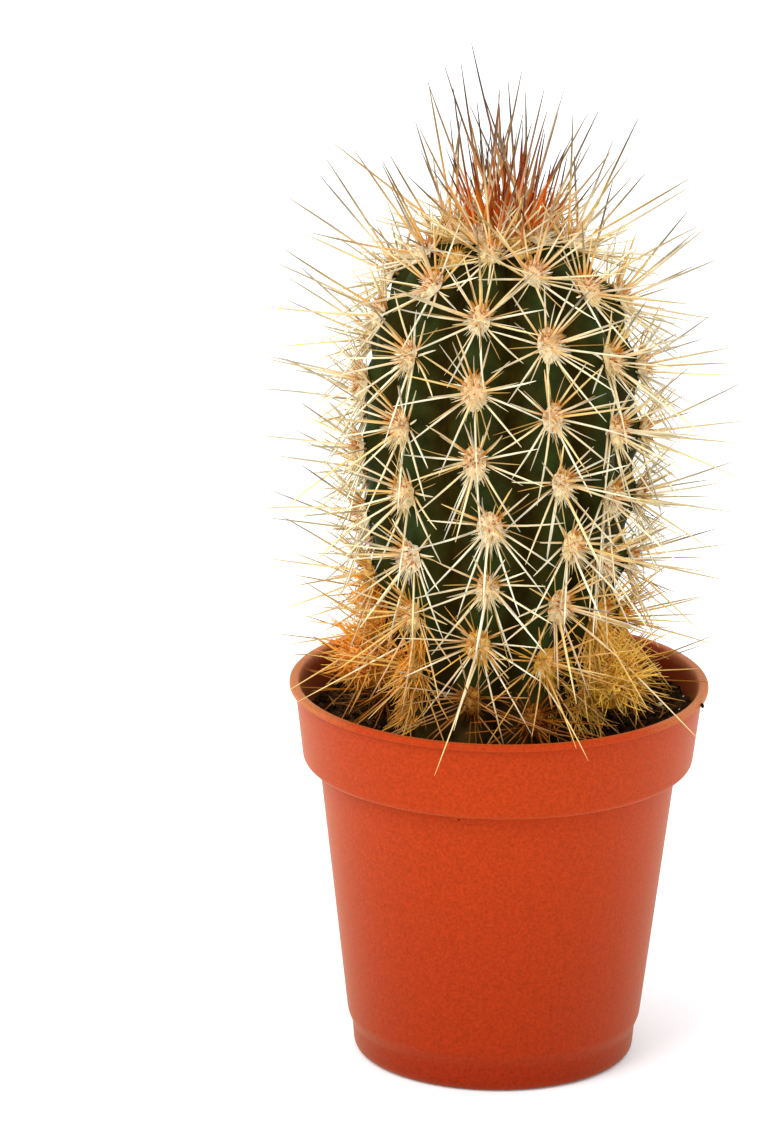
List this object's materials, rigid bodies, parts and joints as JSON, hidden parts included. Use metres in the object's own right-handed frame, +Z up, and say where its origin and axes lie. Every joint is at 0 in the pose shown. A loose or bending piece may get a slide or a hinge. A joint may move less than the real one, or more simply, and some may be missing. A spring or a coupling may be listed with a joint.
{
  "type": "potted cactus",
  "caption": "Live columnar cactus with ribs and long pale spines, growing in soil in a small round plastic nursery pot; stands on a table or sill.",
  "frame": {"origin": "centre of the pot's flat base, on the surface that the pot stands on", "axes": "+Z up along the pot's and the stem's axis; -Y is the side that the picture shows, and +X is its right"},
  "size_m": [0.0649, 0.0641, 0.1349],
  "materials": {
    "pot": "satin moulded plastic with a fine grain",
    "soil": "rough crumbly peat",
    "cactus": "waxy dark green skin, felted pads and dry straw-coloured spines"
  },
  "bodies": {
    "root": {"pot": "pot", "soil": "soil", "cactus": "cactus"}
  },
  "joints": []
}
